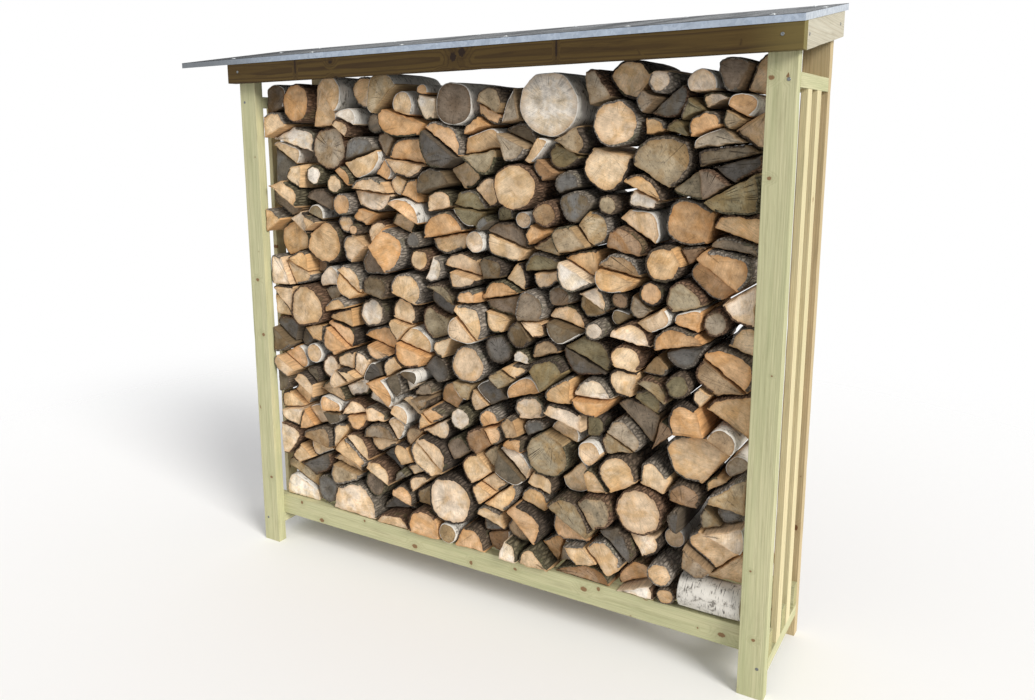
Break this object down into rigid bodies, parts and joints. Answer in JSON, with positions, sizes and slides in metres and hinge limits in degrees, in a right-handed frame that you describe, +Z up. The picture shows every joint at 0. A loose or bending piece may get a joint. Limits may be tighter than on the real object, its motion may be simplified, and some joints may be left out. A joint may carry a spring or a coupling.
{
  "type": "log store",
  "caption": "Open-fronted timber log store on four posts, with slatted ends, a sloping sheet-steel roof and a full stack of round and split firewood.",
  "frame": {"origin": "on the ground, under the middle of the roof sheet", "axes": "+X along the front to the right as seen from the front, +Y from the open front to the back, +Z up"},
  "size_m": [2.2398, 0.5408, 1.9487],
  "materials": {
    "timber": "sawn, pressure treated",
    "firewood": "sawn ends, split faces and bark",
    "roof_steel": "galvanised"
  },
  "bodies": {
    "root": {"post_front_left": "timber", "post_front_right": "timber", "post_back_left": "timber", "post_back_right": "timber", "beam_front": "timber", "beam_back": "timber", "slope_board_left": "timber", "slope_board_right": "timber", "rafter": "timber", "end_rail_upper_left": "timber", "end_rail_upper_right": "timber", "end_rail_lower_left": "timber", "end_rail_lower_right": "timber", "slat_left_front": "timber", "slat_left_back": "timber", "slat_right_front": "timber", "slat_right_back": "timber", "base_rail_front": "timber", "base_rail_middle": "timber", "base_rail_back": "timber", "roof_sheet": "roof_steel", "roof_edge_front": "roof_steel", "roof_edge_back": "roof_steel", "roof_edge_left": "roof_steel", "roof_edge_right": "roof_steel", "logs_course_01": "firewood", "logs_course_02": "firewood", "logs_course_03": "firewood", "logs_course_04": "firewood", "logs_course_05": "firewood", "logs_course_06": "firewood", "logs_course_07": "firewood", "logs_course_08": "firewood", "logs_course_09": "firewood", "logs_course_10": "firewood", "logs_course_11": "firewood", "logs_course_12": "firewood", "logs_course_13": "firewood", "logs_course_14": "firewood", "logs_course_15": "firewood", "logs_course_16": "firewood", "logs_course_17": "firewood", "logs_lengthwise": "firewood"}
  },
  "joints": []
}
